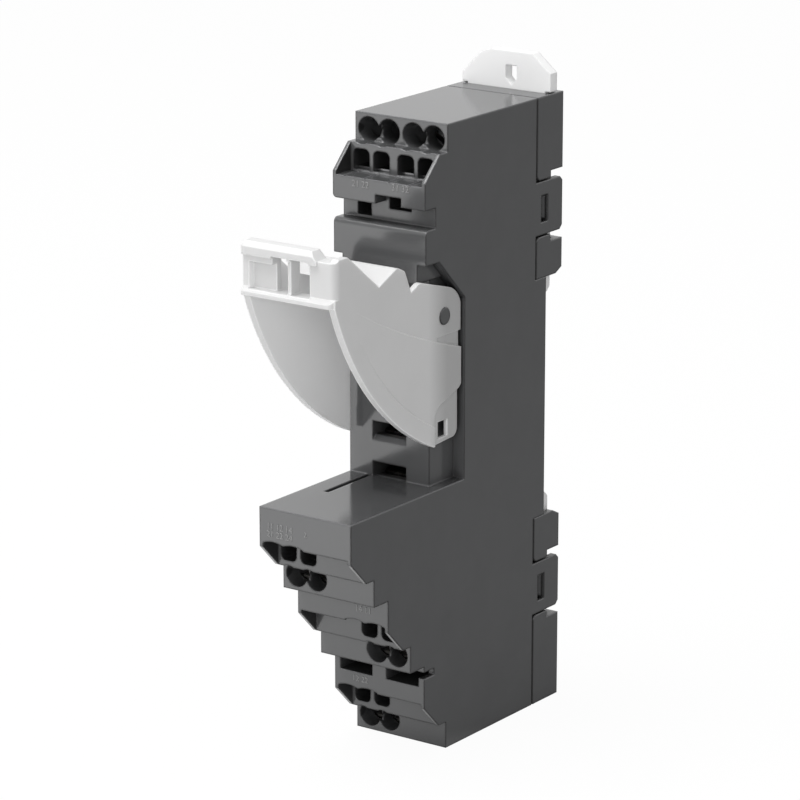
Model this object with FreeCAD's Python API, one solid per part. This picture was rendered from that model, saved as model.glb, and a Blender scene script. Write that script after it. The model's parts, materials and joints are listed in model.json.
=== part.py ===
import FreeCAD, Part
import math
import os

os.makedirs("parts", exist_ok=True)

# Body of the socket, measured from its bottom face and from its rearmost face
body_width = 15.5
body_height = 90.0
side_wall = 0.9
end_wall = 0.7
split_depth = 6.7
cavity_depth = 23.0

# Stepped terminal tiers of the lower block and the single tier of the upper block
wire_face_depth = 28.5
tier_run = 8.6
wire_face_rise = 3.9
ledge_run = 1.8
diagonal_run = 3.5
tier_heights = (13.6, 12.0, 13.1)
gusset_wall = 0.55
pair_offset = 3.75

# One push-in terminal: two wire entries and two release holes
lobe_pitch = 3.4
wire_axis_rise = 2.3
mouth_radius = 1.8
entry_radius = 1.45
entry_wall = 2.6
neck_rise = 1.03
neck_drop = 0.73
neck_depth = 0.7
release_width = 2.72
release_sill = 0.85
release_round = 0.8
label_lift = 0.5
scoop_depth = 0.95
upper_scoop_depth = 0.3
scoop_radius = 4.8
guide_width = 0.6
guide_depth = 0.2
guide_offset = -0.4
label_corner = 0.6
clamp_room_rise = 7.65

# Metal of a terminal: clamp springs, bus bars and blade clips
spring_gauge = 0.3
spring_width = 2.6
spring_bend = 1.0
spring_reach = 8.6
spring_nose_gap = 0.9
spring_tip_reach = 2.9
spring_tip_gap = 0.45
loop_drop = 2.0
bar_gauge = 0.6
bar_side_gap = 0.1
bar_lead = 0.3
back_plate_gap = 0.3
riser_width = 3.0
riser_inset = 0.75
riser_depth = 10.0
front_riser_depth = 20.0
jog_start_depth = 18.6
jog_end_depth = 20.9
clip_gauge = 0.4
clip_width = 4.7
clip_base_half = 1.2
clip_base_depth = 21.6
clip_pinch_reach = 4.8
clip_mouth_reach = 1.4
clip_mouth_half = 0.85
blade_gauge = 0.5

# Hood, label channel and relay seat
hood_depth = 33.6
hood_low = 71.1
channel_low = 76.0
channel_high = 78.85
channel_depth = 31.3
hood_round = 0.7
brow_drop = 2.7
brow_side = 6.3
label_notch_width = 4.3
label_notch_rise = 1.25
label_notch_offset = 1.6
bridge_window_width = 2.3
bridge_window_rise = 2.5
bridge_window_offset = -4.15
bridge_window_reach = 4.0
notch_window_width = 3.7
notch_window_drop = 1.1
seat_depth = 30.0
seat_wall = 1.8
seat_side = 5.85
slot_offset = -0.95
slot_width = 5.7
slot_height = 2.1
slot_lead_in = 0.7
first_slot_height = 39.7
slot_pitch = 5.9
coil_slot_height = 61.2
top_groove_width = 0.8
top_groove_inset = 3.0
top_groove_run = 10.3
top_groove_drop = 0.6
bridge_slot_width = 5.6
bridge_slot_rise = 2.3
bridge_slot_drop = 0.8
bridge_slot_reach = 6.5
bridge_slot_offset = 4.0
side_groove_rise = 1.0
side_groove_run = 2.4

# Side recesses for the lever and the pivot bosses
recess_depth = 24.2
recess_corner = 6.2
left_recess_low = 54.6
pivot_depth = 28.6
pivot_height = 63.1
boss_radius = 1.2
pivot_clearance = 0.05
boss_inset = 0.15

# Rear base, rail recess and snap tongues
rail_width = 35.0
rail_height = 46.1
rail_recess_slack = 0.4
rail_seat_depth = 3.95
tongue_rise = 7.7
lower_segment_rise = 6.9
upper_segment_rise = 6.3
tongue_window_rise = 3.9
tongue_window_near = 3.65
tongue_window_far = 5.35
tongue_window_inset = 1.8
tongue_chamfer = 0.6
snap_gap = 0.3
snap_run = 0.6
snap_pocket_drop = 1.2
base_gap = 0.05
parting_gap = 0.28
parting_round = 0.8
notch_rise = 1.25
base_corner = 1.5
channel_half_width = 6.75
lip_half_width = 4.6

# Rail hooks
hook_near = 1.3
hook_gauge = 1.65
hook_play = 0.1
hook_side_gap = 0.15
hook_reach = 2.5
hook_nose_bevel = 0.7
tab_width = 15.0
tab_rise = 5.2
tab_rest_gap = 0.2
tab_right_run = 3.1
tab_right_rise = 2.6
tab_left_run = 3.2
tab_left_rise = 3.2
tab_shoulder_run = 1.9
tab_shoulder_rise = 0.6
tab_slot_offset = 0.85
tab_slot_width = 1.9
tab_slot_low = 0.3
tab_slot_rise = 2.8
tab_slot_point = 1.0
lower_hook_end = 0.8
tool_slot_width = 4.0
tool_slot_rise = 1.6
tool_slot_inset = 3.0

# Release lever
lever_swing = 24.0
lever_gap = 0.25
lever_outer = 7.65
plate_gauge = 1.05
plate_back_gap = 0.55
ear_radius = 4.05
handle_depth = 54.2
handle_top = 75.9
handle_low = 69.3
handle_corner = 0.9
handle_top_run = 2.8
valley_depth = 44.1
valley_height = 70.35
ridge_depth = 39.3
ridge_height = 72.15
ridge_flat = 0.9
notch_front_run = 3.6
notch_back_run = 2.3
tip_depth = 31.4
tip_height = 45.0
heel_rise = 0.3
heel_round = 1.2
heel_inset = 0.5
pad_top_drop = 5.25
pad_drop = 0.45
pad_side_inset = 0.3
pad_side_rise = 3.9
pad_shoulder_run = 1.1
pad_shoulder_rise = 1.7
sweep_radius = 42.7
rim_width = 2.7
field_drop = 0.12
upper_drop = 0.25
step_front_height = 68.1
step_back_height = 57.75
step_front_inset = 4.5
step_radius = 89.0
relief_run = 9.0
lever_round = 0.9
ear_round = 1.4
ear_pocket_low = 58.0
ear_pocket_rise = 2.4
ear_pocket_run = 5.7
ear_pocket_inset = 0.3
window_inset = 1.5
window_width = 2.3
window_low_rise = 0.8
window_rise = 2.4
left_plate_end_depth = 31.4
left_plate_end_height = 57.6
web_gauge = 0.9
handle_gauge = 2.0
handle_panel_drop = 0.4
handle_round = 1.1
rail_length = 12.5
rail_rise = 1.2
rail_proud = 0.4
rail_bevel = 0.6
lip_rise = 1.2
lip_proud = 0.5
grip_window_low = 70.2
grip_window_high = 75.2
grip_recess_high = 74.0
grip_recess_drop = 1.0
grip_recess_span = (-6.7, -2.7)
grip_window_spans = ((-2.7, -0.1), (0.4, 3.5))

# Values that follow from the sizes above
half_width = body_width / 2
label_rise = wire_face_rise + diagonal_run
label_run = ledge_run + diagonal_run
tier_bases = [sum(tier_heights[:i]) for i in range(len(tier_heights))]
block_top = sum(tier_heights)
recess_low = rail_height - (rail_width + rail_recess_slack) / 2
recess_high = rail_height + (rail_width + rail_recess_slack) / 2
tongue_low = recess_low - lower_segment_rise - tongue_rise
upper_tongue_low = recess_high + upper_segment_rise
brow_low = hood_low - brow_drop
slot_heights = [first_slot_height + i * slot_pitch for i in range(3)]
coil_slot_heights = [coil_slot_height + slot_pitch, coil_slot_height]
inner_half = half_width - side_wall
clamp_room_half = inner_half - pair_offset
plate_inner = lever_outer - plate_gauge
plate_back = recess_depth + plate_back_gap
pad_top_height = ear_pocket_low - pad_top_drop
hook_far = hook_near + hook_gauge
hook_half = channel_half_width - hook_side_gap
tiny = 0.01
past = 1.0


def block(x0, x1, y0, y1, z0, z1):
    """Box between two corners, the y values given as depths in front of the rear face."""
    return Part.makeBox(x1 - x0, abs(y1 - y0), z1 - z0, FreeCAD.Vector(x0, -max(y0, y1), z0))


def side_prism(points, x0, x1):
    """Outline of (depth, height) points pushed across from x0 to x1."""
    corners = [FreeCAD.Vector(x0, -depth, height) for depth, height in points]
    face = Part.Face(Part.makePolygon(corners + corners[:1]))
    return face.extrude(FreeCAD.Vector(x1 - x0, 0, 0))


def front_prism(points, near, far):
    """Outline of (x, height) points pushed from depth far back to depth near."""
    corners = [FreeCAD.Vector(x, -far, height) for x, height in points]
    face = Part.Face(Part.makePolygon(corners + corners[:1]))
    return face.extrude(FreeCAD.Vector(0, far - near, 0))


def plan_prism(points, low, high):
    """Outline of (x, depth) points raised from low to high."""
    corners = [FreeCAD.Vector(x, -depth, low) for x, depth in points]
    face = Part.Face(Part.makePolygon(corners + corners[:1]))
    return face.extrude(FreeCAD.Vector(0, 0, high - low))


def deep_cylinder(x, height, radius, near, far):
    """Round rod along the depth."""
    return Part.makeCylinder(radius, far - near, FreeCAD.Vector(x, -far, height), FreeCAD.Vector(0, 1, 0))


def cross_cylinder(depth, height, radius, x0, x1):
    """Round rod across the body."""
    return Part.makeCylinder(radius, x1 - x0, FreeCAD.Vector(x0, -depth, height), FreeCAD.Vector(1, 0, 0))


def fuse(shapes):
    """One solid from several that meet."""
    return shapes[0].multiFuse(shapes[1:]).removeSplitter()


def cut(shape, tools):
    """The shape without its tools."""
    return shape.cut(Part.makeCompound(tools)).removeSplitter()


def rounded(shape, places, radius):
    """The shape with its cross edges at the given (depth, height) places rounded."""
    chosen = []
    for depth, height in places:
        chosen += [edge for edge in shape.Edges
                   if edge.BoundBox.XLength > tiny and abs(edge.CenterOfMass.y + depth) < tiny
                   and abs(edge.CenterOfMass.z - height) < tiny]
    return shape.makeFillet(radius, chosen)


def corner_tool(x, depth, radius, low, high):
    """What a rounded upright corner takes off, for the front corner at x."""
    side = math.copysign(1.0, x)
    centre = FreeCAD.Vector(x - side * radius, radius - depth, low)
    x0, x1 = sorted((x - side * radius, x + side * past))
    square = block(x0, x1, depth - radius, depth + past, low, high)
    return square.cut(Part.makeCylinder(radius, high - low, centre))


def bent_strip(points, radius, gauge, x0, x1):
    """Strip of even gauge along (depth, height) points, rounded at each bend, from x0 to x1."""
    at = [FreeCAD.Vector(x0, -depth, height) for depth, height in points]
    half = gauge / 2
    runs = [(b - a).normalize() for a, b in zip(at, at[1:])]
    normals = [FreeCAD.Vector(0, -run.z, run.y) for run in runs]
    sides = []
    for side in (half, -half):
        edges, last = [], at[0] + normals[0] * side
        for i, corner in enumerate(at[1:-1]):
            turn = runs[i].y * runs[i + 1].z - runs[i].z * runs[i + 1].y
            hand = math.copysign(1.0, turn)
            angle = runs[i].getAngle(runs[i + 1])
            reach = radius * math.tan(angle / 2)
            start, stop = corner - runs[i] * reach, corner + runs[i + 1] * reach
            centre = start + normals[i] * (hand * radius)
            middle = centre + (corner - centre).normalize() * (radius - hand * side)
            first, final = start + normals[i] * side, stop + normals[i + 1] * side
            edges += [Part.makeLine(last, first), Part.Arc(first, middle, final).toShape()]
            last = final
        end = at[-1] + normals[-1] * side
        sides.append((edges + [Part.makeLine(last, end)], at[0] + normals[0] * side, end))
    caps = [Part.makeLine(sides[0][1], sides[1][1]), Part.makeLine(sides[0][2], sides[1][2])]
    loop = Part.Wire(Part.__sortEdges__(sides[0][0] + sides[1][0] + caps))
    return Part.Face(loop).extrude(FreeCAD.Vector(x1 - x0, 0, 0))


def swung(point, degrees):
    """Where a (depth, height) point comes when the lever's handle is raised by the given angle."""
    angle = math.radians(degrees)
    ahead, up = point[0] - pivot_depth, point[1] - pivot_height
    return (pivot_depth + ahead * math.cos(angle) - up * math.sin(angle),
            pivot_height + ahead * math.sin(angle) + up * math.cos(angle))


def save(name, shape):
    """Write one node, with the rail seat's middle as the origin."""
    placed = shape.copy()
    placed.translate(FreeCAD.Vector(0, rail_seat_depth, -rail_height))
    placed.exportStep("parts/" + name + ".step")


class Terminal:
    """One terminal's place: its tier's end face, wire face, side, and whether it points up or down."""

    def __init__(self, base, up, wire_depth, middle):
        self.base, self.up, self.wire_depth, self.middle = base, up, wire_depth, middle
        self.ledge_depth = wire_depth + ledge_run
        self.label_depth = wire_depth + label_run
        self.room_depth = wire_depth - entry_wall
        self.crest_rise = label_rise + (scoop_depth if up > 0 else upper_scoop_depth)
        self.lobes = (middle - lobe_pitch / 2, middle + lobe_pitch / 2)

    def height(self, rise):
        """Height of a level that lies rise away from the tier's end face."""
        return self.base + self.up * rise

    def span(self, x0, x1, near, far, low_rise, high_rise):
        """Box whose heights are rises from the tier's end face."""
        heights = sorted((self.height(low_rise), self.height(high_rise)))
        return block(x0, x1, near, far, heights[0], heights[1])


lower_sides = (-1, 1, -1)
lower_terminals = [Terminal(tier_bases[i], 1, wire_face_depth + i * tier_run, lower_sides[i] * pair_offset)
                   for i in range(len(tier_bases))]
coil_terminals = [Terminal(body_height, -1, wire_face_depth, side * pair_offset) for side in (-1, 1)]
terminal_of = {
    "closed_contact": lower_terminals[0],
    "open_contact": lower_terminals[1],
    "common_contact": lower_terminals[2],
    "coil_left": coil_terminals[0],
    "coil_right": coil_terminals[1],
}
clip_height_of = {
    "closed_contact": slot_heights[2],
    "open_contact": slot_heights[0],
    "common_contact": slot_heights[1],
    "coil_left": coil_slot_heights[0],
    "coil_right": coil_slot_heights[1],
}


def tier_points(base, up, wire_depth):
    """Outline of one tier from its end face to the far end of its diagonal."""
    ledge = base + up * wire_face_rise
    label = base + up * label_rise
    return [(wire_depth, base), (wire_depth, ledge), (wire_depth + ledge_run, ledge),
            (wire_depth + label_run, label)]


def body_outline():
    """Side outline of the housing, up the front and down the back."""
    points = []
    for terminal in lower_terminals:
        points += tier_points(terminal.base, 1, terminal.wire_depth)
        points.append((terminal.label_depth, 0))
    for i, terminal in enumerate(lower_terminals):
        top = terminal.base + tier_heights[i]
        points[5 * i + 4] = (terminal.label_depth, top)
    points += [(seat_depth, block_top), (seat_depth, brow_low), (hood_depth, brow_low),
               (hood_depth, channel_low), (channel_depth, channel_low), (channel_depth, channel_high),
               (wire_face_depth + label_run, channel_high)]
    points += reversed(tier_points(body_height, -1, wire_face_depth))
    points += [(split_depth, body_height), (split_depth, 0)]
    return points


def scoop(terminal):
    """Scalloped lead-in from the label face's edge to the two release holes."""
    half = lobe_pitch / 2
    crest = terminal.height(terminal.crest_rise)
    rise = scoop_radius - math.sqrt(scoop_radius ** 2 - half ** 2)
    cusp = crest - terminal.up * rise
    foot = terminal.height(label_rise - release_sill)
    far = -terminal.label_depth - past
    levels = (cusp, crest, cusp, crest, cusp)
    at = [FreeCAD.Vector(terminal.middle + (i - 2) * half, far, level) for i, level in enumerate(levels)]
    first, last = FreeCAD.Vector(at[0].x, far, foot), FreeCAD.Vector(at[4].x, far, foot)
    edges = [Part.makeLine(first, at[0]), Part.Arc(at[0], at[1], at[2]).toShape(),
             Part.Arc(at[2], at[3], at[4]).toShape(), Part.makeLine(at[4], last), Part.makeLine(last, first)]
    reach = terminal.label_depth - terminal.ledge_depth + past
    return Part.Face(Part.Wire(edges)).extrude(FreeCAD.Vector(0, reach, 0))


def release_hole(terminal, x):
    """Opening for the tool, square at the label and rounded towards the wire entries."""
    foot = wire_face_rise + release_sill
    crest = terminal.crest_rise - tiny
    hole = terminal.span(x - release_width / 2, x + release_width / 2, terminal.room_depth - past,
                         terminal.ledge_depth + tiny, foot, crest)
    level = terminal.height(foot)
    rounded = [edge for edge in hole.Edges
               if abs(edge.CenterOfMass.z - level) < tiny and edge.BoundBox.YLength > edge.BoundBox.XLength]
    return hole.makeFillet(release_round, rounded)


def wire_entry(terminal, x):
    """Taper of one wire entry, and the round that it scallops out of the ledge."""
    height = terminal.height(wire_axis_rise)
    mouth = deep_cylinder(x, height, mouth_radius, terminal.wire_depth - tiny, terminal.label_depth + past)
    bore = deep_cylinder(x, height, entry_radius, terminal.room_depth - past, terminal.room_depth + tiny)
    taper = Part.makeCone(mouth_radius, entry_radius, entry_wall,
                          FreeCAD.Vector(x, -terminal.wire_depth, height), FreeCAD.Vector(0, 1, 0))
    return [mouth, taper, bore]


def entry_neck(terminal):
    """Shallow neck that joins the two wire entries in front of the thin wall between them."""
    return terminal.span(terminal.lobes[0], terminal.lobes[1], terminal.wire_depth - neck_depth,
                         terminal.ledge_depth + past, wire_axis_rise - neck_drop, wire_axis_rise + neck_rise)


def scoop_guides(terminal):
    """Small V grooves in the floor below the release holes, which lead a screwdriver into them."""
    floor = terminal.height(label_rise + label_lift)
    tools = []
    for x in terminal.lobes:
        left, right = x + guide_offset - guide_width / 2, x + guide_offset + guide_width / 2
        tools.append(front_prism([(left, floor - terminal.up * tiny), (right, floor - terminal.up * tiny),
                                  (x + guide_offset, floor + terminal.up * guide_depth)],
                                 terminal.ledge_depth, terminal.label_depth + past))
    return tools


def terminal_cuts(terminal):
    """Everything that one terminal takes out of the housing."""
    tools = [scoop(terminal), entry_neck(terminal)]
    if terminal.up < 0:
        tools += scoop_guides(terminal)
    for x in terminal.lobes:
        tools += wire_entry(terminal, x)
        tools.append(release_hole(terminal, x))
    tools.append(terminal.span(terminal.middle - clamp_room_half, terminal.middle + clamp_room_half,
                               cavity_depth - past, terminal.room_depth, end_wall, clamp_room_rise))
    return tools


def diagonal_pocket(base, up, wire_depth):
    """Space between the two outer gussets, in front of the set-back release wall."""
    low, high = sorted((base + up * wire_face_rise, base + up * (label_rise + label_lift)))
    half = half_width - gusset_wall
    return block(-half, half, wire_depth + ledge_run, wire_depth + label_run + past, low, high)


def recess_tools(side, low):
    """Side recess that takes one plate of the lever, shallower beside the brow under the hood."""
    front = hood_depth + past
    points = [(front, low), (recess_depth, low), (recess_depth, hood_low - recess_corner),
              (recess_depth + recess_corner, hood_low), (front, hood_low)]
    far = side * (half_width + past)
    shallow = side_prism(points, *sorted((side * brow_side, far)))
    deep = side_prism(points, *sorted((side * seat_side, far)))
    below = block(-half_width - 2 * past, half_width + 2 * past, 0, front + past, low - past, brow_low)
    return [shallow, deep.common(below)]


def relay_slot(height):
    """Slot for one relay blade, with a sloping sill at its lower edge."""
    left, right = slot_offset - slot_width / 2, slot_offset + slot_width / 2
    low, high = height - slot_height / 2, height + slot_height / 2
    inner = seat_depth - seat_wall - past
    lead = [(seat_depth + tiny, low - slot_lead_in), (seat_depth - slot_lead_in, low), (inner, low),
            (inner, high), (seat_depth + tiny, high)]
    return side_prism(lead, left, right)


def tongue(low):
    """Housing tongue beside the rear base, with the window that its snap nub takes."""
    high = low + tongue_rise
    window_low = low + tongue_window_inset
    parts = []
    for side in (-1, 1):
        x0, x1 = sorted((side * inner_half, side * half_width))
        plate = block(x0, x1, 0, split_depth + tiny, low, high)
        rear = [edge for edge in plate.Edges
                if abs(edge.CenterOfMass.y) < tiny and edge.BoundBox.XLength > tiny]
        plate = plate.makeChamfer(tongue_chamfer, rear)
        window = block(x0 - past, x1 + past, tongue_window_near, tongue_window_far,
                       window_low, window_low + tongue_window_rise)
        parts.append(plate.cut(window))
    return parts


def housing():
    """Moulded front shell: tiers, relay seat, hood and the room for the metal inside."""
    shell = side_prism(body_outline(), -half_width, half_width)
    shell = rounded(shell, [(hood_depth, channel_low)], hood_round)
    tools = [label_corner_tool()]
    for terminal in lower_terminals:
        tools.append(diagonal_pocket(terminal.base, 1, terminal.wire_depth))
    tools.append(diagonal_pocket(body_height, -1, wire_face_depth))
    for terminal in lower_terminals + coil_terminals:
        tools += terminal_cuts(terminal)
    tools.append(block(-inner_half, inner_half, split_depth - past, cavity_depth,
                       end_wall, body_height - end_wall))
    tools += recess_tools(1, block_top) + recess_tools(-1, left_recess_low)
    clip_half = slot_width / 2
    tools.append(block(slot_offset - clip_half, slot_offset + clip_half, cavity_depth - past,
                       seat_depth - seat_wall, slot_heights[0] - clip_base_half - 2 * bar_gauge,
                       coil_slot_heights[0] + 2 * clip_base_half))
    tools += [relay_slot(height) for height in slot_heights + coil_slot_heights]
    tools += label_channel_cuts()
    tools += bridge_cuts()
    shell = cut(shell, tools)
    walls = []
    for side in (-1, 1):
        x0, x1 = sorted((side * inner_half, side * half_width))
        walls.append(block(x0, x1, rail_seat_depth, split_depth + tiny, recess_low, recess_high))
        boss0, boss1 = sorted((side * (seat_side - tiny), side * (lever_outer - boss_inset)))
        walls.append(cross_cylinder(pivot_depth, pivot_height, boss_radius, boss0, boss1))
    return fuse([shell] + tongue(tongue_low) + tongue(upper_tongue_low) + walls)


def label_corner_tool():
    """What the rounded lower left corner of the upper label takes off."""
    far = wire_face_depth + label_run + past
    x, height = label_corner - half_width, channel_high + label_corner
    square = block(-half_width - past, x, channel_depth, far, channel_high - past, height)
    return square.cut(deep_cylinder(x, height, label_corner, channel_depth - past, far + past))


def label_channel_cuts():
    """Notch in the upper label block and the windows of the bridge behind it."""
    label_depth = wire_face_depth + label_run
    notch = block(label_notch_offset - label_notch_width / 2, label_notch_offset + label_notch_width / 2,
                  channel_depth, label_depth + past, channel_high - tiny, channel_high + label_notch_rise)
    rear = channel_depth - bridge_window_reach
    window_left = bridge_window_offset - bridge_window_width / 2
    window = block(window_left, window_left + bridge_window_width, rear, channel_depth + tiny,
                   channel_high - bridge_window_rise, channel_high)
    notch_right = label_notch_offset + label_notch_width / 2
    behind_notch = block(notch_right - notch_window_width, notch_right, rear, channel_depth + tiny,
                         channel_high - notch_window_drop, channel_high + label_notch_rise)
    return [notch, window, behind_notch]


def bridge_cuts():
    """Slots for a bridging comb above the lowest label, and the groove on top of the lower block."""
    top = tier_bases[1] - bridge_slot_drop
    label_depth = lower_terminals[0].label_depth
    tools = []
    for side in (-1, 1):
        middle = side * bridge_slot_offset
        tools.append(block(middle - bridge_slot_width / 2, middle + bridge_slot_width / 2,
                           label_depth - bridge_slot_reach, label_depth + past, top - bridge_slot_rise, top))
    tools.append(block(bridge_slot_offset, half_width + past, label_depth - side_groove_run,
                       label_depth + past, top - side_groove_rise, top))
    groove_left = -half_width + top_groove_inset
    tools.append(block(groove_left, groove_left + top_groove_width, seat_depth, seat_depth + top_groove_run,
                       block_top - top_groove_drop, block_top + past))
    return tools


def rear_base():
    """Snap-on rear moulding: rail recess, rail edges and the channel of the two hooks."""
    inside = inner_half - base_gap
    tongue_levels = (tongue_low, tongue_low + tongue_rise, upper_tongue_low, upper_tongue_low + tongue_rise)
    ends = [(0, tongue_levels[0]), (tongue_levels[1], recess_low), (recess_high, tongue_levels[2]),
            (tongue_levels[3], body_height)]
    solids = [block(-inside, inside, rail_seat_depth, split_depth, end_wall, body_height - end_wall),
              block(-inside, inside, 0, rail_seat_depth + tiny, 0, recess_low),
              block(-inside, inside, 0, rail_seat_depth + tiny, recess_high, body_height)]
    for low, high in ends:
        near_tongue = [level for level in (low, high) if level in tongue_levels]
        foot = low + parting_gap if low in near_tongue else low
        head = high - parting_gap if high in near_tongue else high
        segment = block(-half_width, half_width, 0, split_depth - parting_gap, foot, head)
        corners = [(split_depth - parting_gap, foot if level == low else head) for level in near_tongue]
        solids.append(rounded(segment, corners, parting_round))
    base = fuse(solids)
    tools = []
    for low, high in ((0, recess_low), (recess_high, body_height)):
        tools.append(block(-channel_half_width, channel_half_width, hook_near - hook_play,
                           hook_far + hook_play, low - past, high + past))
        tools.append(block(-lip_half_width, lip_half_width, -past, hook_near, low - past, high + past))
    for low in (tongue_low + tongue_rise, upper_tongue_low + tongue_rise):
        tools.append(block(-half_width - past, half_width + past, -past, hook_far,
                           low - past, low + notch_rise))
    for high in (tongue_low, upper_tongue_low):
        tools.append(block(-half_width - past, half_width + past, -past, hook_far,
                           high - notch_rise, high + past))
    for edge, inward in ((recess_low, -1), (recess_high, 1)):
        corner = [(-tiny, edge), (base_corner, edge), (-tiny, edge + inward * base_corner / 2)]
        tools.append(side_prism(corner, -half_width - past, half_width + past))
    for low in (tongue_low, upper_tongue_low):
        window_low = low + tongue_window_inset
        for side in (-1, 1):
            x0, x1 = sorted((side * (inside - snap_pocket_drop), side * (inside + past)))
            tools.append(block(x0, x1, tongue_window_near + snap_run, tongue_window_far,
                               window_low, window_low + tongue_window_rise))
    base = cut(base, tools)
    nubs = [snap_nub(low, side) for low in (tongue_low, upper_tongue_low) for side in (-1, 1)]
    return fuse([base] + nubs)


def snap_nub(low, side):
    """Wedge of the rear base that holds a tongue by the rear edge of its window."""
    nub_low = low + tongue_window_inset + snap_gap
    nub_high = nub_low + tongue_window_rise - 2 * snap_gap
    near, far = tongue_window_near + base_gap, tongue_window_near + snap_run
    crest = side * (half_width - snap_gap)
    root = side * (inner_half - base_gap - tiny)
    return plan_prism([(root, far), (crest, near), (root, near)], nub_low, nub_high)


def upper_hook():
    """Upper rail hook with its pull tab, pointed slot and bevelled corners."""
    nose = recess_high - (rail_recess_slack / 2 + hook_reach)
    tab_low = body_height + tab_rest_gap
    tab_top = body_height + tab_rest_gap + tab_rise
    half = tab_width / 2
    stem = block(-hook_half, hook_half, hook_near, hook_far, nose, tab_low)
    shoulder = tab_top - tab_shoulder_rise
    tab = front_prism([(-half, tab_low), (half, tab_low), (half, tab_top - tab_right_rise),
                       (half - tab_right_run, tab_top), (tab_left_run + tab_shoulder_run - half, tab_top),
                       (tab_left_run - half, shoulder), (-half, shoulder - tab_left_rise)],
                      hook_near, hook_far)
    left, right = tab_slot_offset - tab_slot_width / 2, tab_slot_offset + tab_slot_width / 2
    slot_low = tab_low + tab_slot_low
    slot_high = slot_low + tab_slot_rise
    slot = front_prism([(tab_slot_offset, slot_low), (right, slot_low + tab_slot_point), (right, slot_high),
                        (left, slot_high), (left, slot_low + tab_slot_point)],
                       hook_near - past, hook_far + past)
    bevel = side_prism([(hook_near - tiny, nose - tiny), (hook_near + hook_nose_bevel, nose - tiny),
                        (hook_near - tiny, nose + hook_nose_bevel)], -hook_half - past, hook_half + past)
    return cut(fuse([stem, tab]), [slot, bevel])


def lower_hook():
    """Lower rail hook, shorter, with a slot for a screwdriver."""
    nose = recess_low + rail_recess_slack / 2 + hook_reach
    stem = block(-hook_half, hook_half, hook_near, hook_far, lower_hook_end, nose)
    slot_low = lower_hook_end + tool_slot_inset
    slot = block(-tool_slot_width / 2, tool_slot_width / 2, hook_near - past, hook_far + past,
                 slot_low, slot_low + tool_slot_rise)
    bevel = side_prism([(hook_near - tiny, nose + tiny), (hook_near + hook_nose_bevel, nose + tiny),
                        (hook_near - tiny, nose - hook_nose_bevel)], -hook_half - past, hook_half + past)
    return cut(stem, [slot, bevel])


def clamp_spring(terminal, x):
    """Leaf spring: fixed leg up to the release hole, a loop at the back and the clamping leg."""
    ceiling = clamp_room_rise - spring_gauge / 2
    reach = terminal.room_depth - spring_reach
    tip = end_wall + bar_gauge + spring_tip_gap
    points = [(terminal.ledge_depth - spring_nose_gap, ceiling), (reach, ceiling),
              (reach, ceiling - loop_drop), (terminal.room_depth - spring_tip_reach, tip)]
    path = [(depth, terminal.height(rise)) for depth, rise in points]
    return bent_strip(path, spring_bend, spring_gauge, x - spring_width / 2, x + spring_width / 2)


def bus_bar(name):
    """Floor under the wires, back plate behind the springs, riser and leg to the blade clip."""
    terminal = terminal_of[name]
    height = clip_height_of[name]
    half = clamp_room_half - bar_side_gap
    plate = terminal.room_depth - spring_reach - spring_gauge / 2 - back_plate_gap
    riser = front_riser_depth if name == "common_contact" else riser_depth
    outer = inner_half - riser_inset
    side = math.copysign(1.0, terminal.middle)
    x0, x1 = sorted((side * outer, side * (outer - riser_width)))
    floor = terminal.span(terminal.middle - half, terminal.middle + half, plate - bar_gauge,
                          terminal.room_depth - bar_lead, end_wall, end_wall + bar_gauge)
    back = terminal.span(terminal.middle - half, terminal.middle + half, plate - bar_gauge, plate,
                         end_wall, clamp_room_rise - bar_side_gap)
    run = terminal.span(x0, x1, riser - bar_gauge, plate, end_wall, end_wall + bar_gauge)
    leg_top = height - clip_base_half
    ends = sorted((terminal.height(end_wall), leg_top))
    low = min(ends[0], leg_top - bar_gauge)
    post = block(x0, x1, riser - bar_gauge, riser, low, ends[1])
    clip_left, clip_right = slot_offset - clip_width / 2, slot_offset + clip_width / 2
    start = max(jog_start_depth, riser)
    foot = clip_base_depth + past
    outline = [(x0, riser - bar_gauge), (x0, start), (clip_left, jog_end_depth), (clip_left, foot),
               (clip_right, foot), (clip_right, jog_end_depth), (x1, start), (x1, riser - bar_gauge)]
    leg = plan_prism(outline, leg_top - bar_gauge, leg_top)
    return fuse([floor, back, run, post, leg])


def blade_clip(height):
    """Two sprung arms that grip a relay blade, folded from one strip around its foot."""
    base = clip_base_half - clip_gauge / 2
    pinch = (blade_gauge + clip_gauge) / 2
    mouth = clip_mouth_half
    pinch_depth = clip_base_depth + clip_pinch_reach
    mouth_depth = pinch_depth + clip_mouth_reach
    points = [(mouth_depth, height + mouth), (pinch_depth, height + pinch),
              (clip_base_depth + past, height + base), (clip_base_depth, height + base),
              (clip_base_depth, height - base), (clip_base_depth + past, height - base),
              (pinch_depth, height - pinch), (mouth_depth, height - mouth)]
    left = slot_offset - clip_width / 2
    return bent_strip(points, clip_gauge, clip_gauge, left, left + clip_width)


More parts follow.
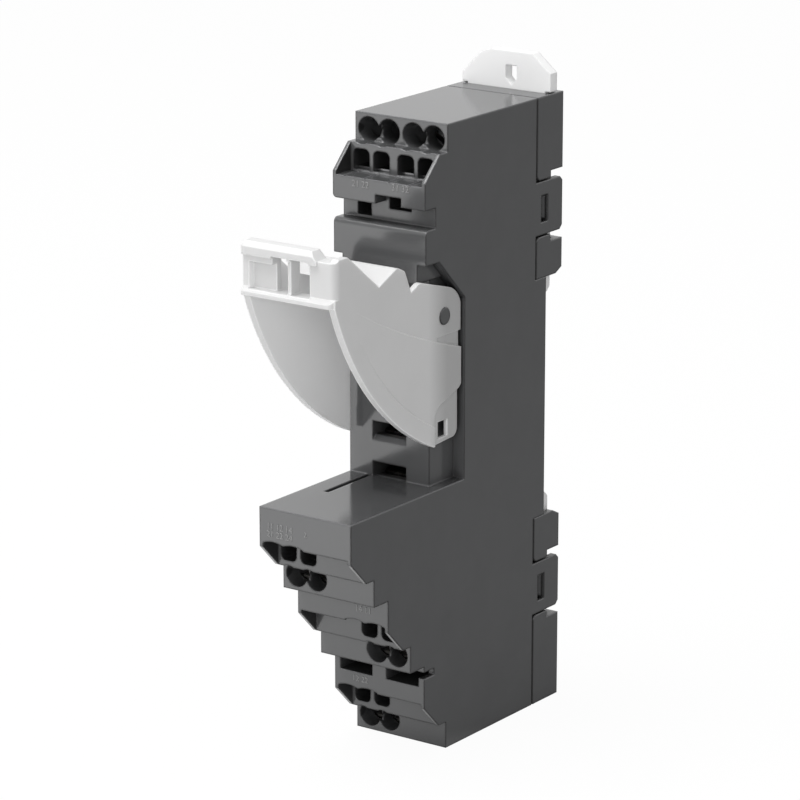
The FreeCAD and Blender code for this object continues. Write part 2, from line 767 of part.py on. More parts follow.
def plate_outline():
    """Edges of one side plate of the lever, as (depth, height) points and arcs."""
    corner = swung((hood_depth + lever_gap, hood_low - lever_gap), -lever_swing)
    ahead = swung((hood_depth + lever_gap, hood_low - lever_gap + notch_front_run), -lever_swing)
    behind = swung((hood_depth + lever_gap - notch_back_run, hood_low - lever_gap), -lever_swing)
    reach = math.hypot(behind[0] - pivot_depth, behind[1] - pivot_height)
    bearing = math.atan2(behind[1] - pivot_height, pivot_depth - behind[0])
    tangent = bearing - math.acos(ear_radius / reach)
    back_bearing = math.acos((pivot_depth - plate_back) / ear_radius)

    def on_ear(angle):
        return (pivot_depth - ear_radius * math.cos(angle), pivot_height + ear_radius * math.sin(angle))

    toe, chin = (tip_depth, tip_height), (handle_depth, handle_low)
    chord = math.hypot(chin[0] - toe[0], chin[1] - toe[1])
    sag = sweep_radius - math.sqrt(sweep_radius ** 2 - chord ** 2 / 4)
    middle = ((chin[0] + toe[0]) / 2 + sag * (chin[1] - toe[1]) / chord,
              (chin[1] + toe[1]) / 2 - sag * (chin[0] - toe[0]) / chord)
    heel_depth = plate_back + heel_inset
    heel_height = tip_height + heel_rise
    return [
        ("line", chin, (handle_depth, handle_top - handle_corner)),
        ("line", (handle_depth, handle_top - handle_corner), (handle_depth - handle_corner, handle_top)),
        ("line", (handle_depth - handle_corner, handle_top), (handle_depth - handle_top_run, handle_top)),
        ("line", (handle_depth - handle_top_run, handle_top), (valley_depth, valley_height)),
        ("line", (valley_depth, valley_height), (ridge_depth + ridge_flat / 2, ridge_height)),
        ("line", (ridge_depth + ridge_flat / 2, ridge_height), ahead),
        ("line", ahead, corner),
        ("line", corner, behind),
        ("line", behind, on_ear(tangent)),
        ("arc", on_ear(tangent), on_ear((tangent + back_bearing) / 2), on_ear(back_bearing)),
        ("line", on_ear(back_bearing), (plate_back, ear_pocket_low + ear_pocket_rise)),
        ("line", (plate_back, ear_pocket_low + ear_pocket_rise),
         (plate_back + ear_pocket_inset, ear_pocket_low + ear_pocket_rise)),
        ("line", (plate_back + ear_pocket_inset, ear_pocket_low + ear_pocket_rise),
         (plate_back + ear_pocket_inset, ear_pocket_low)),
        ("line", (plate_back + ear_pocket_inset, ear_pocket_low), (plate_back, ear_pocket_low)),
        ("line", (plate_back, ear_pocket_low), (plate_back, pad_top_height)),
        ("line", (plate_back, pad_top_height), (heel_depth, pad_top_height - heel_inset)),
        ("line", (heel_depth, pad_top_height - heel_inset), (heel_depth, heel_height + heel_round)),
        ("arc", (heel_depth, heel_height + heel_round),
         (heel_depth + heel_round - heel_round * math.sqrt(0.5),
          heel_height + heel_round - heel_round * math.sqrt(0.5)),
         (heel_depth + heel_round, heel_height)),
        ("line", (heel_depth + heel_round, heel_height), toe),
        ("arc", toe, middle, chin),
    ]


def plate_prism(edges, x0, x1):
    """Push an outline of lines and arcs across from x0 to x1."""
    shapes = []
    for kind, *points in edges:
        at = [FreeCAD.Vector(x0, -depth, height) for depth, height in points]
        shapes.append(Part.makeLine(*at) if kind == "line" else Part.Arc(*at).toShape())
    return Part.Face(Part.Wire(shapes)).extrude(FreeCAD.Vector(x1 - x0, 0, 0))


def sagged(front, back, radius):
    """Middle of the shallow arc between two (depth, height) points, hollow towards the back."""
    chord = math.hypot(front[0] - back[0], front[1] - back[1])
    sag = radius - math.sqrt(radius ** 2 - chord ** 2 / 4)
    return ((front[0] + back[0]) / 2 + sag * (back[1] - front[1]) / chord,
            (front[1] + back[1]) / 2 + sag * (back[0] - front[0]) / chord)


def sweep_centre():
    """Centre of the swept lower edge, as (depth, height)."""
    rise, run = handle_low - tip_height, handle_depth - tip_depth
    chord = math.hypot(rise, run)
    reach = math.sqrt(sweep_radius ** 2 - chord ** 2 / 4)
    return ((handle_depth + tip_depth) / 2 - reach * rise / chord,
            (handle_low + tip_height) / 2 + reach * run / chord)


def relief_wedge(side, drop):
    """Space outside one side plate, from nothing at the relief's front end to the full drop behind it."""
    outer, inner, far = (side * (lever_outer + shift) for shift in (0, -drop, past))
    front = handle_depth - step_front_inset
    rear = plate_back - past
    return plan_prism([(outer, front), (inner, front - relief_run), (inner, rear), (far, rear), (far, front)],
                      tip_height - past, ridge_height + 2 * past)


def plate_relief(side):
    """Shallow steps moulded into the outer face of one side plate."""
    def across(drop):
        return sorted((side * (lever_outer - drop), side * (lever_outer + past)))
    front = (handle_depth - step_front_inset, step_front_height)
    back = (plate_back - past, step_back_height)
    above = ridge_height + past
    step = [("arc", front, sagged(front, back, step_radius), back), ("line", back, (back[0], above)),
            ("line", (back[0], above), (front[0], above)), ("line", (front[0], above), front)]
    upper = plate_prism(step, *across(upper_drop)).common(relief_wedge(side, upper_drop))
    under_ear = block(*across(pad_drop), plate_back - past, plate_back + ear_pocket_run,
                      ear_pocket_low - past, ear_pocket_low + ear_pocket_rise)
    pocket = plate_prism(step, *across(pad_drop)).common(under_ear)
    centre = sweep_centre()
    disc = cross_cylinder(centre[0], centre[1], sweep_radius - rim_width, *across(field_drop))
    field = disc.common(relief_wedge(side, field_drop))
    side_depth = tip_depth - pad_side_inset
    side_top = tip_height + pad_side_rise
    shoulder = (side_depth - pad_shoulder_run, side_top + pad_shoulder_rise)
    bow = (side_depth - pad_shoulder_run / 4, side_top + pad_shoulder_rise / 2)
    low, rear = tip_height - past, plate_back - past
    pad = plate_prism([("line", (rear, pad_top_height), shoulder),
                       ("arc", shoulder, bow, (side_depth, side_top)),
                       ("line", (side_depth, side_top), (side_depth, low)),
                       ("line", (side_depth, low), (rear, low)),
                       ("line", (rear, low), (rear, pad_top_height))], *across(pad_drop))
    return [upper, pocket, field, pad]


def handle():
    """Front wall with its rail, lip, recessed panel and two windows."""
    half = lever_outer
    back = handle_depth - handle_gauge
    wall = block(-half, half, back, handle_depth, handle_low, handle_top - handle_panel_drop)
    rail_low = handle_top - handle_panel_drop
    rail_high = rail_low + rail_rise
    rail_far = handle_depth + rail_proud
    rail = side_prism([(rail_far, rail_low - rail_bevel), (rail_far, rail_high - rail_bevel),
                       (rail_far - rail_bevel, rail_high), (back, rail_high), (back, rail_low - rail_bevel)],
                      -half, rail_length - half)
    end = [(rail_length - half - rail_rise, rail_high + tiny), (rail_length - half + tiny, rail_high + tiny),
           (rail_length - half + tiny, rail_low)]
    rail = rail.cut(front_prism(end, back - past, rail_far + past))
    lip_far = handle_depth + lip_proud
    lip_high = handle_low + lip_rise
    lip = side_prism([(lip_far, handle_low), (lip_far, handle_low + lip_rise / 2),
                      (handle_depth, lip_high), (back, lip_high), (back, handle_low)], -half, half)
    tools = [block(left, right, back - past, rail_far + past, grip_window_low + tiny, grip_window_high)
             for left, right in grip_window_spans]
    tools.append(block(grip_recess_span[0], grip_recess_span[1] + tiny, handle_depth - grip_recess_drop,
                       handle_depth + past, grip_window_low + tiny, grip_recess_high))
    tools.append(corner_tool(half, handle_depth, handle_round, lip_high, rail_high + past))
    tools.append(corner_tool(half, lip_far, handle_round, handle_low - past, lip_high))
    return cut(fuse([wall, rail, lip]), tools)


def release_lever():
    """White lever: two side plates on the pivot bosses, the ridge web and the handle."""
    plates = []
    ridge = (ridge_depth + ridge_flat / 2, ridge_height)
    ahead = swung((hood_depth + lever_gap, hood_low - lever_gap + notch_front_run), -lever_swing)
    behind = swung((hood_depth + lever_gap - notch_back_run, hood_low - lever_gap), -lever_swing)
    for side in (-1, 1):
        x0, x1 = sorted((side * plate_inner, side * lever_outer))
        plate = rounded(plate_prism(plate_outline(), x0, x1), [ridge, ahead], lever_round)
        plate = rounded(plate, [behind], ear_round)
        tools = plate_relief(side)
        hole_radius = boss_radius + pivot_clearance
        tools.append(cross_cylinder(pivot_depth, pivot_height, hole_radius, x0 - past, x1 + past))
        window_low, window_far = tip_height + window_low_rise, tip_depth - window_inset
        tools.append(block(x0 - past, x1 + past, window_far - window_width, window_far,
                           window_low, window_low + window_rise))
        if side > 0:
            tools.append(corner_tool(lever_outer, handle_depth, handle_round,
                                     handle_low + lip_rise, handle_top + past))
        if side < 0:
            tools.append(block(x0 - past, x1 + past, plate_back - past, left_plate_end_depth,
                               tip_height - past, left_plate_end_height))
        plates.append(cut(plate, tools))
    slope = (ridge_height - valley_height) / (valley_depth - ridge_depth)
    web_foot = (valley_depth - web_gauge, valley_height - web_gauge * slope)
    web = side_prism([(valley_depth, valley_height), ridge, ahead, (ahead[0], ridge_height - 2 * web_gauge),
                      web_foot], -plate_inner - tiny, plate_inner + tiny)
    web = rounded(web, [ridge, ahead], lever_round)
    return fuse(plates + [web, handle()])


save("housing", housing())
save("rear_base", rear_base())
save("release_lever", release_lever())
save("upper_rail_hook", upper_hook())
save("lower_rail_hook", lower_hook())
for name, terminal in terminal_of.items():
    save(name + "_bar", bus_bar(name))
    save(name + "_clip", blade_clip(clip_height_of[name]))
    for number, lobe in enumerate(terminal.lobes, start=1):
        save(name + "_spring_" + str(number), clamp_spring(terminal, lobe))
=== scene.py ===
import json
import math

import bpy
import numpy as np
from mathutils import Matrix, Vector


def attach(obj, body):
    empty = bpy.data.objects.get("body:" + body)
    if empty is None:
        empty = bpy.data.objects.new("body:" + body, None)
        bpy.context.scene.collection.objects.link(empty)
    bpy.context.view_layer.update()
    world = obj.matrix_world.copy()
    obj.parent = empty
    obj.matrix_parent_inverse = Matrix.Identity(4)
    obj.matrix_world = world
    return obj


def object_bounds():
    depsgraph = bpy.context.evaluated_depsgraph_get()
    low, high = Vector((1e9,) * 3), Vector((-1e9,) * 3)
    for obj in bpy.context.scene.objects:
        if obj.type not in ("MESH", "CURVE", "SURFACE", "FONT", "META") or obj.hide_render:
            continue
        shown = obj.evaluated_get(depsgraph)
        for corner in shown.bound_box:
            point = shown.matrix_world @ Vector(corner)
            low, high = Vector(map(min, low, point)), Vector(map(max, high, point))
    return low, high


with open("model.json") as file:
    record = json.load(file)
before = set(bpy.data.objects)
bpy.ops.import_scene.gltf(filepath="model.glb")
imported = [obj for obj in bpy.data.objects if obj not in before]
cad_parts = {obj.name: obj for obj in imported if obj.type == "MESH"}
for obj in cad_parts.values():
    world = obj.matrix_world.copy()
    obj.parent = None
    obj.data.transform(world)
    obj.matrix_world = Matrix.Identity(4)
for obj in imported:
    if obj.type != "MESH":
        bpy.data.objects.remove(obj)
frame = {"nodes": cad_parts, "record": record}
cad_box = [list(corner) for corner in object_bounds()]


# Housing
# The front half of the body is one black moulding in glass-filled nylon: stepped terminal tiers, the
# relay seat and the hood. Its faces are smooth and softly glossy, and every corner has a small radius.
black_deep = (0.076, 0.077, 0.079, 1)
black_pale = (0.09, 0.091, 0.093, 1)
# Painted highlight: corners of the black plastic whose rounded normal faces up are mixed towards a paler
# grey.
black_edge_highlight = (0.24, 0.24, 0.25, 1)
black_edge_highlight_share = 0.6
black_edge_reach = 0.0004
# Painted shade: corners of the black plastic that don't face up are darkened by this share.
black_corner_painted_shade = 0.9
black_specular = 0.55
black_roughness = (0.11, 0.16)
black_scales = (180.0, 5200.0)
black_grain_depth = 0.000012
# Painted shade: faces of the black plastic inside holes and narrow gaps are darkened within this reach.
black_hollow_shade_reach = 0.005
black_hollow_roughness = 0.6
# Painted shade: walls looking sideways at about 7.2 mm from the middle, the gussets' inner faces beside the
# terminal pockets, are darkened to this level.
pocket_wall_place = 0.0072
pocket_wall_reach = 0.00012
pocket_wall_painted_shade = 0.12
edge_samples = 6
edge_turn = (0.995, 0.92)
edge_upward = (0.15, 0.5)
noise_detail = {"Flow": 3.0, "Grain": 2.0}
noise_roughness = 0.55
grain_strength = 0.35
hollow_samples = 8
hollow_seen = (0.22, 0.55)
hollow_level = (0.05, 1.0)
side_turn = 0.9


def add_node(tree, kind, settings=None, inputs=None):
    """One shader node: its settings by attribute, its inputs by name as a value or another node's output."""
    node = tree.nodes.new(kind)
    for key, value in (settings or {}).items():
        setattr(node, key, value)
    for key, value in (inputs or {}).items():
        if isinstance(value, bpy.types.NodeSocket):
            tree.links.new(value, node.inputs[key])
        else:
            node.inputs[key].default_value = value
    return node


def new_group(name, takes, gives):
    """Empty node group and its two ends: what it takes and gives are names with their kinds of socket."""
    group = bpy.data.node_groups.new(name, "ShaderNodeTree")
    for way, sockets in (("INPUT", takes), ("OUTPUT", gives)):
        for socket, kind in sockets.items():
            group.interface.new_socket(name=socket, in_out=way, socket_type=kind)
    return group, group.nodes.new("NodeGroupInput"), group.nodes.new("NodeGroupOutput")


def new_finish(name):
    """Empty material, with its node tree and its shader."""
    material = bpy.data.materials.new(name)
    material.use_nodes = True
    return material, material.node_tree, material.node_tree.nodes["Principled BSDF"]


def edge_group():
    """Group for rounded corners: their blended normal, and masks of all, the upward ones and the rest."""
    group, taken, given = new_group(
        "moulded_edge", {"Reach": "NodeSocketFloat"},
        {"All": "NodeSocketFloat", "Upward": "NodeSocketFloat", "Other": "NodeSocketFloat",
         "Normal": "NodeSocketVector"})
    soft = add_node(group, "ShaderNodeBevel", {"samples": edge_samples}, {"Radius": taken.outputs["Reach"]})
    face = add_node(group, "ShaderNodeNewGeometry")
    match = add_node(group, "ShaderNodeVectorMath", {"operation": "DOT_PRODUCT"},
                     {0: soft.outputs["Normal"], 1: face.outputs["Normal"]})
    mask = add_node(group, "ShaderNodeMapRange", None,
                    {"Value": match.outputs["Value"], "From Min": edge_turn[0], "From Max": edge_turn[1]})
    split = add_node(group, "ShaderNodeSeparateXYZ", None, {"Vector": soft.outputs["Normal"]})
    upward = add_node(group, "ShaderNodeMapRange", None,
                      {"Value": split.outputs["Z"], "From Min": edge_upward[0], "From Max": edge_upward[1]})
    caught = add_node(group, "ShaderNodeMath", {"operation": "MULTIPLY"},
                      {0: mask.outputs["Result"], 1: upward.outputs["Result"]})
    other = add_node(group, "ShaderNodeMath", {"operation": "SUBTRACT"},
                     {0: mask.outputs["Result"], 1: caught.outputs["Value"]})
    group.links.new(mask.outputs["Result"], given.inputs["All"])
    group.links.new(caught.outputs["Value"], given.inputs["Upward"])
    group.links.new(other.outputs["Value"], given.inputs["Other"])
    group.links.new(soft.outputs["Normal"], given.inputs["Normal"])
    return group


def grain_group():
    """Group for moulded plastic: slow flow marks as a value, and a fine eroded grain as a height."""
    group, taken, given = new_group(
        "moulded_grain", {"Flow Scale": "NodeSocketFloat", "Grain Scale": "NodeSocketFloat"},
        {"Flow": "NodeSocketFloat", "Grain": "NodeSocketFloat"})
    place = add_node(group, "ShaderNodeTexCoord")
    for name, detail in noise_detail.items():
        noise = add_node(group, "ShaderNodeTexNoise", None,
                         {"Vector": place.outputs["Object"], "Scale": taken.outputs[name + " Scale"],
                          "Detail": detail, "Roughness": noise_roughness})
        group.links.new(noise.outputs["Fac"], given.inputs[name])
    return group


def hollow_group():
    """Group of painted shade: its value is 1 in the open and falls towards 0 inside holes and narrow gaps,
    by their ambient occlusion.
    """
    group, taken, given = new_group(
        "hollow_painted_shade", {"Reach": "NodeSocketFloat"}, {"Open": "NodeSocketFloat"})
    seen = add_node(group, "ShaderNodeAmbientOcclusion", {"samples": hollow_samples},
                    {"Distance": taken.outputs["Reach"]})
    level = add_node(group, "ShaderNodeMapRange", None,
                     {"Value": seen.outputs["AO"], "From Min": hollow_seen[0], "From Max": hollow_seen[1],
                      "To Min": hollow_level[0], "To Max": hollow_level[1]})
    group.links.new(level.outputs["Result"], given.inputs["Open"])
    return group


def side_face_group():
    """Group for painted light and shade: its value falls from 1 to Low on faces that look sideways at one
    distance from the middle.
    """
    group, taken, given = new_group(
        "side_face_painted_light_and_shade",
        {"Place": "NodeSocketFloat", "Reach": "NodeSocketFloat", "Low": "NodeSocketFloat"},
        {"Level": "NodeSocketFloat"})
    place = add_node(group, "ShaderNodeTexCoord")
    face = add_node(group, "ShaderNodeNewGeometry")
    sides = []
    for source in (place.outputs["Object"], face.outputs["Normal"]):
        split = add_node(group, "ShaderNodeSeparateXYZ", None, {"Vector": source})
        sides.append(add_node(group, "ShaderNodeMath", {"operation": "ABSOLUTE"},
                              {0: split.outputs["X"]}).outputs["Value"])
    there = add_node(group, "ShaderNodeMath", {"operation": "COMPARE"},
                     {0: sides[0], 1: taken.outputs["Place"], 2: taken.outputs["Reach"]})
    turned = add_node(group, "ShaderNodeMath", {"operation": "GREATER_THAN"}, {0: sides[1], 1: side_turn})
    wall = add_node(group, "ShaderNodeMath", {"operation": "MULTIPLY"},
                    {0: there.outputs["Value"], 1: turned.outputs["Value"]})
    level = add_node(group, "ShaderNodeMapRange", None,
                     {"Value": wall.outputs["Value"], "To Min": 1.0, "To Max": taken.outputs["Low"]})
    group.links.new(level.outputs["Result"], given.inputs["Level"])
    return group


edge_mask = edge_group()
plastic_grain = grain_group()
hollow_shade_group = hollow_group()
side_face = side_face_group()


def moulded_plastic(name, deep, pale, edge, edge_kind, edge_share, edge_reach, roughness, specular, scales,
                    grain_depth):
    """Moulded plastic: two close shades along the flow, painted highlights on its corners, and a fine grain
    under the gloss.
    """
    material, tree, shader = new_finish(name)
    grain = add_node(tree, "ShaderNodeGroup", {"node_tree": plastic_grain},
                     {"Flow Scale": scales[0], "Grain Scale": scales[1]})
    corner = add_node(tree, "ShaderNodeGroup", {"node_tree": edge_mask}, {"Reach": edge_reach})
    shade = add_node(tree, "ShaderNodeMixRGB", None,
                     {"Fac": grain.outputs["Flow"], "Color1": deep, "Color2": pale})
    # Painted highlight: corners chosen by the edge mask are mixed towards the edge colour.
    share = add_node(tree, "ShaderNodeMath", {"operation": "MULTIPLY"},
                     {0: corner.outputs[edge_kind], 1: edge_share})
    colour = add_node(tree, "ShaderNodeMixRGB", None,
                      {"Fac": share.outputs["Value"], "Color1": shade.outputs["Color"], "Color2": edge})
    gloss = add_node(tree, "ShaderNodeMapRange", None,
                     {"Value": grain.outputs["Flow"], "To Min": roughness[0], "To Max": roughness[1]})
    bump = add_node(tree, "ShaderNodeBump", None,
                    {"Height": grain.outputs["Grain"], "Strength": grain_strength, "Distance": grain_depth,
                     "Normal": corner.outputs["Normal"]})
    tree.links.new(colour.outputs["Color"], shader.inputs["Base Color"])
    tree.links.new(gloss.outputs["Result"], shader.inputs["Roughness"])
    tree.links.new(bump.outputs["Normal"], shader.inputs["Normal"])
    shader.inputs["Specular IOR Level"].default_value = specular
    return material


def dim_colour(tree, colour, level):
    """Sends a colour to the shader, scaled by a level."""
    dimmed = add_node(tree, "ShaderNodeVectorMath", {"operation": "SCALE"}, {0: colour, "Scale": level})
    tree.links.new(dimmed.outputs["Vector"], tree.nodes["Principled BSDF"].inputs["Base Color"])


def black_plastic_finish():
    """Black plastic with painted highlights on its upward corners, and painted shade along its other
    corners, on the pockets' side walls and inside its holes and scoops, where it is also matt.
    """
    material = moulded_plastic("black_plastic", black_deep, black_pale, black_edge_highlight, "Upward",
                               black_edge_highlight_share, black_edge_reach, black_roughness, black_specular,
                               black_scales, black_grain_depth)
    tree = material.node_tree
    shader = tree.nodes["Principled BSDF"]
    corner = next(node for node in tree.nodes if getattr(node, "node_tree", None) == edge_mask)
    # Painted shade: holes and narrow gaps are darkened.
    hollow = add_node(tree, "ShaderNodeGroup", {"node_tree": hollow_shade_group}, {"Reach": black_hollow_shade_reach})
    # Painted shade: corners that don't face up are darkened.
    corner_shade = add_node(tree, "ShaderNodeMath", {"operation": "MULTIPLY_ADD"},
                    {0: corner.outputs["Other"], 1: -black_corner_painted_shade, 2: 1.0})
    # Painted shade: the sideways walls beside the terminal pockets are darkened.
    wall = add_node(tree, "ShaderNodeGroup", {"node_tree": side_face},
                    {"Place": pocket_wall_place, "Reach": pocket_wall_reach, "Low": pocket_wall_painted_shade})
    inner = add_node(tree, "ShaderNodeMath", {"operation": "MULTIPLY"},
                     {0: wall.outputs["Level"], 1: hollow.outputs["Open"]})
    level = add_node(tree, "ShaderNodeMath", {"operation": "MULTIPLY"},
                     {0: corner_shade.outputs["Value"], 1: inner.outputs["Value"]})
    dim_colour(tree, shader.inputs["Base Color"].links[0].from_socket, level.outputs["Value"])
    dulled = add_node(tree, "ShaderNodeMapRange", None,
                      {"Value": level.outputs["Value"], "To Min": black_hollow_roughness,
                       "To Max": shader.inputs["Roughness"].links[0].from_socket})
    tree.links.new(dulled.outputs["Result"], shader.inputs["Roughness"])
    return material


black_plastic = black_plastic_finish()


def finish_node(node, material):
    """Gives a node of the model its one finish."""
    mesh = frame["nodes"][node].data
    mesh.materials.clear()
    mesh.materials.append(material)


finish_node("housing", black_plastic)


# Rear base
# The back of the body is a second black moulding of the same nylon. The housing's four tongues snap into
# it, and it holds the rail recess and the channel of the two hooks.
finish_node("rear_base", black_plastic)


# Release lever
# The lever is one white moulding: two side plates, a cross web and a handle. It snaps over two bosses on
# the housing's sides. Its faces are satin and let a little light through.
white_deep = (0.64, 0.64, 0.64, 1)
white_pale = (0.69, 0.69, 0.69, 1)
# Painted highlight: all corners of the white plastic are mixed towards near white.
white_edge_highlight = (0.96, 0.96, 0.96, 1)
white_edge_highlight_share = 0.95
white_edge_reach = 0.0003
white_roughness = (0.34, 0.42)
white_specular = 0.45
white_scales = (140.0, 4200.0)
white_grain_depth = 0.000008
white_scatter = 0.4
white_scatter_reach = 0.001
white_scatter_spread = (1.0, 1.0, 1.0)
# Painted shade: the outer side faces of the lever's plates are dimmed towards their rear.
lever_side_place = 0.0074
lever_side_reach = 0.0004
lever_rear_shade_places = (-0.0285, -0.0242)
lever_rear_painted_shade = 0.66
# Painted light: the inner faces of the lever's side plates are mixed towards a paler white.
lever_inner_painted_light = (0.93, 0.93, 0.93, 1)
lever_inner_place = 0.0066
lever_inner_reach = 0.0001
lever_inner_painted_light_low = 0.2


def white_plastic_finish(name, deep, pale, scatter):
    """White plastic with some of its light scattered under its surface."""
    material = moulded_plastic(name, deep, pale, white_edge_highlight, "All", white_edge_highlight_share, white_edge_reach,
                               white_roughness, white_specular, white_scales, white_grain_depth)
    shader = material.node_tree.nodes["Principled BSDF"]
    shader.inputs["Subsurface Weight"].default_value = scatter
    shader.inputs["Subsurface Scale"].default_value = white_scatter_reach
    shader.inputs["Subsurface Radius"].default_value = white_scatter_spread
    return material


def lever_finish():
    """White plastic with painted light that makes it paler between the side plates, and painted shade that
    makes it greyer outside on their rear ears.
    """
    material = white_plastic_finish("white_plastic", white_deep, white_pale, white_scatter)
    tree = material.node_tree
    shader = tree.nodes["Principled BSDF"]
    # Painted shade: outer side faces grow greyer towards their rear.
    side = add_node(tree, "ShaderNodeGroup", {"node_tree": side_face},
                    {"Place": lever_side_place, "Reach": lever_side_reach, "Low": lever_rear_painted_shade})
    place = add_node(tree, "ShaderNodeTexCoord")
    split = add_node(tree, "ShaderNodeSeparateXYZ", None, {"Vector": place.outputs["Object"]})
    level = add_node(tree, "ShaderNodeMapRange", None,
                     {"Value": split.outputs["Y"], "From Min": lever_rear_shade_places[0],
                      "From Max": lever_rear_shade_places[1], "To Min": 1.0, "To Max": side.outputs["Level"]})
    # Painted light: the inner faces between the plates are made paler.
    inner = add_node(tree, "ShaderNodeGroup", {"node_tree": side_face},
                     {"Place": lever_inner_place, "Reach": lever_inner_reach, "Low": lever_inner_painted_light_low})
    colour = add_node(tree, "ShaderNodeMixRGB", None,
                      {"Fac": inner.outputs["Level"], "Color1": lever_inner_painted_light,
                       "Color2": shader.inputs["Base Color"].links[0].from_socket})
    dim_colour(tree, colour.outputs["Color"], level.outputs["Result"])
    return material


finish_node("release_lever", lever_finish())


# Rail hooks
# Two white slides in the rear base's channel grip the rail's edges. They are flat mouldings in a paler
# grade of the lever's plastic, which lets less light through.
hook_deep = (0.87, 0.87, 0.87, 1)
hook_pale = (0.92, 0.92, 0.92, 1)
hook_scatter = 0.1
hook_plastic = white_plastic_finish("hook_plastic", hook_deep, hook_pale, hook_scatter)
for hook in ("upper_rail_hook", "lower_rail_hook"):
    finish_node(hook, hook_plastic)


# Terminal numbers
# Small pale numbers stand on the labels of the terminals. They are plain digits of a generic kind, raised a
# little from the face.
number_deep = (0.19, 0.19, 0.19, 1)
number_pale = (0.26, 0.26, 0.26, 1)
# Painted highlight: corners of the numbers are mixed towards a paler grey.
number_edge_highlight = (0.36, 0.36, 0.36, 1)
number_edge_highlight_share = 0.4
number_edge_reach = 0.00006
number_roughness = (0.3, 0.4)
number_specular = 0.5
number_scales = (900.0, 6000.0)
number_grain_depth = 0.000006
number_finish = moulded_plastic("pale_marking", number_deep, number_pale, number_edge_highlight, "All",
                                number_edge_highlight_share, number_edge_reach, number_roughness, number_specular,
                                number_scales, number_grain_depth)
number_raise = 0.00006
number_curve_steps = 3
text_size_per_height = 1.35
label_front = {"upper": -0.02985, "third": -0.04705, "second": -0.03845, "lowest": -0.02985}
number_places = {
    "number_left_upper": ("upper", "21 22", (-0.00305, 0.0351), 0.00095),
    "number_right_upper": ("upper", "31 32", (0.00365, 0.03535), 0.00095),
    "number_third_row": ("third", "11 12 14", (-0.0043, -0.00995), 0.00092),
    "number_third_low_row": ("third", "21 22 24", (-0.0043, -0.01107), 0.00092),
    "number_third_mark": ("third", "2", (0.0001, -0.01015), 0.00075),
    "number_second_row": ("second", "14 11", (0.00355, -0.0225), 0.0009),
    "number_lowest_row": ("lowest", "12 22", (-0.0033, -0.03655), 0.0009),
}


def raised_number(name, label, digits, middle, height):
    """Number on a label: with (u, v, w) a point of the flat letters, their width, height and thickness,
    the point is (middle x + u, label front - w, middle z + v)."""
    curve = bpy.data.curves.new(name, "FONT")
    curve.body = digits
    curve.size = height * text_size_per_height
    curve.extrude = number_raise
    curve.resolution_u = number_curve_steps
    curve.align_x, curve.align_y = "CENTER", "CENTER"
    drawn = bpy.data.objects.new(name + "_drawn", curve)
    mesh = bpy.data.meshes.new_from_object(drawn)
    bpy.data.objects.remove(drawn)
    corners = np.empty(len(mesh.vertices) * 3)
    mesh.vertices.foreach_get("co", corners)
    across, up, out = corners.reshape(-1, 3).T
    placed = np.stack([middle[0] + across, label_front[label] - out, middle[1] + up], 1)
    mesh.vertices.foreach_set("co", placed.ravel())
    mesh.materials.clear()
    mesh.materials.append(number_finish)
    mesh.name = name
    piece = bpy.data.objects.new(name, mesh)
    bpy.context.scene.collection.objects.link(piece)
    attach(piece, "socket")


for number, (label, digits, middle, height) in number_places.items():
    raised_number(number, label, digits, middle, height)


# Bars, clips and clamp springs
# The metal is stamped strip: tin-plated copper bars and clips, and bright stainless clamp springs. It
# shows in the wire entries, in the release holes and in the relay slots.
strip_metals = {
    "tinned_copper": ((0.62, 0.6, 0.56, 1), (0.78, 0.76, 0.72, 1), (0.24, 0.36)),
    "spring_steel": ((0.6, 0.6, 0.61, 1), (0.82, 0.82, 0.83, 1), (0.16, 0.28)),
}
streak_scale = (9000.0, 900.0, 900.0)
streak_detail = 3.0
# Painted shade: the metal is dimmed inside holes within this reach.
metal_hollow_shade_reach = 0.003


def strip_metal(name, deep, pale, roughness):
    """Rolled strip: bright metal with fine streaks along the way it was rolled, and painted shade that dims
    it in the holes.
    """
    material, tree, shader = new_finish(name)
    place = add_node(tree, "ShaderNodeTexCoord")
    turned = add_node(tree, "ShaderNodeMapping", None,
                      {"Vector": place.outputs["Object"], "Scale": streak_scale})
    streaks = add_node(tree, "ShaderNodeTexNoise", None,
                       {"Vector": turned.outputs["Vector"], "Scale": 1.0, "Detail": streak_detail})
    shade = add_node(tree, "ShaderNodeMixRGB", None,
                     {"Fac": streaks.outputs["Fac"], "Color1": deep, "Color2": pale})
    gloss = add_node(tree, "ShaderNodeMapRange", None,
                     {"Value": streaks.outputs["Fac"], "To Min": roughness[0], "To Max": roughness[1]})
    # Painted shade: the metal's colour is dimmed in holes.
    hollow = add_node(tree, "ShaderNodeGroup", {"node_tree": hollow_shade_group}, {"Reach": metal_hollow_shade_reach})
    dim_colour(tree, shade.outputs["Color"], hollow.outputs["Open"])
    tree.links.new(gloss.outputs["Result"], shader.inputs["Roughness"])
    shader.inputs["Metallic"].default_value = 1.0
    return material


finish_of_slot = {slot: strip_metal(slot, *look) for slot, look in strip_metals.items()}
for part in frame["record"]["subparts"]:
    if part["material_slot"] in finish_of_slot:
        finish_node(part["node"], finish_of_slot[part["material_slot"]])


